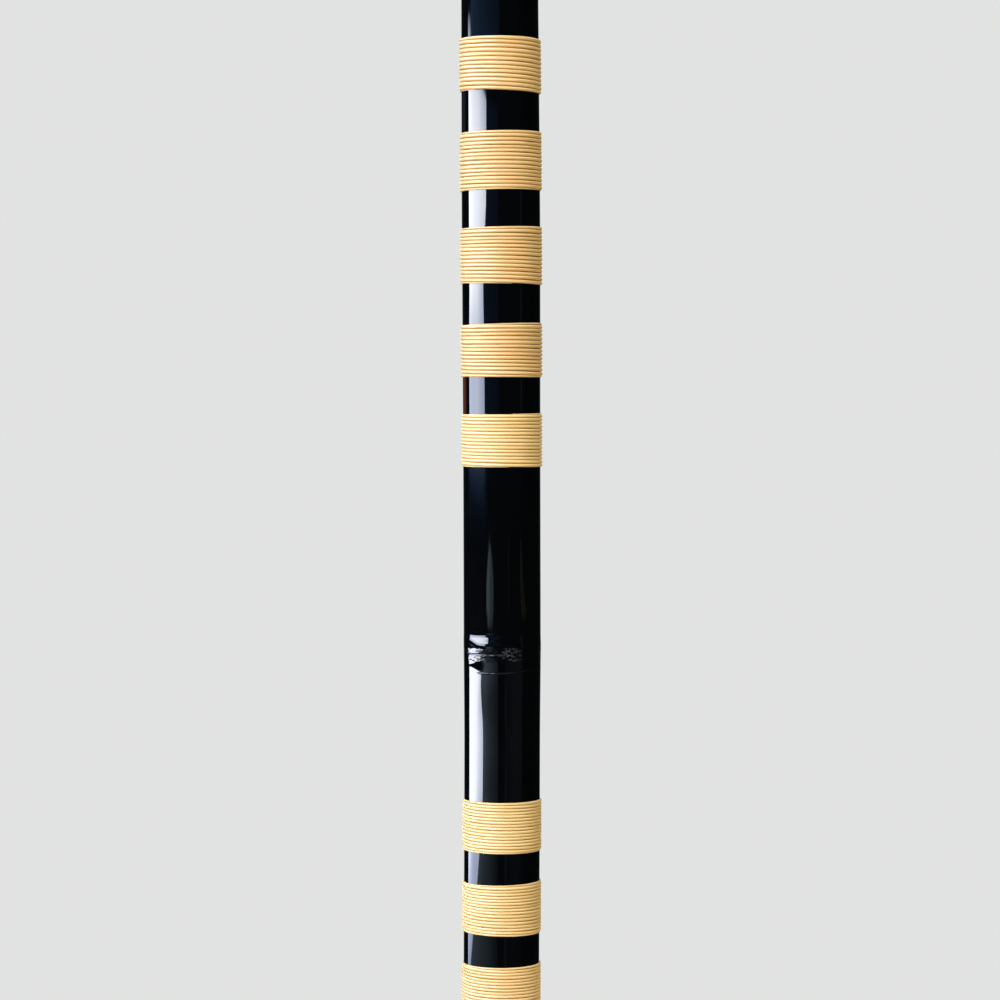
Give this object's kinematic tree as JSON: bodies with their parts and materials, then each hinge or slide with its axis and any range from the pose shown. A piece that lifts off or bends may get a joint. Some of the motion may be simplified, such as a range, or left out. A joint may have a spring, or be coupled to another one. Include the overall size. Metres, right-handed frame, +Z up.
{
  "type": "bamboo flute",
  "caption": "Side-blown bamboo flute: black lacquered cane tube with rattan bindings, a mouth hole and finger holes in line, and a stopped, weighted head.",
  "frame": {"origin": "centre of the foot end, on the plane that the flute stands on", "axes": "+Z up the tube towards the head end, +Y the way the mouth hole and the finger holes open, -Y the plain back"},
  "size_m": [0.0212, 0.0212, 0.44],
  "materials": {
    "black_lacquer": "deep black gloss lacquer on bamboo",
    "rattan": "semi-gloss peeled rattan strand",
    "beeswax": "satin beeswax",
    "lead": "dull grey metal",
    "mulberry_paper": "matte fibrous paper",
    "plain_wood": "bare fine-grained wood",
    "red_brocade": "woven red brocade"
  },
  "bodies": {
    "root": {"bamboo_tube": "black_lacquer", "wax_stopper": "beeswax", "lead_weight": "lead", "paper_wrap": "mulberry_paper", "head_plug": "plain_wood", "end_cloth": "red_brocade", "binding_01": "rattan", "binding_02": "rattan", "binding_03": "rattan", "binding_04": "rattan", "binding_05": "rattan", "binding_06": "rattan", "binding_07": "rattan", "binding_08": "rattan", "binding_09": "rattan", "binding_10": "rattan", "binding_11": "rattan", "binding_12": "rattan", "binding_13": "rattan", "binding_14": "rattan", "binding_15": "rattan", "binding_16": "rattan"}
  },
  "joints": []
}
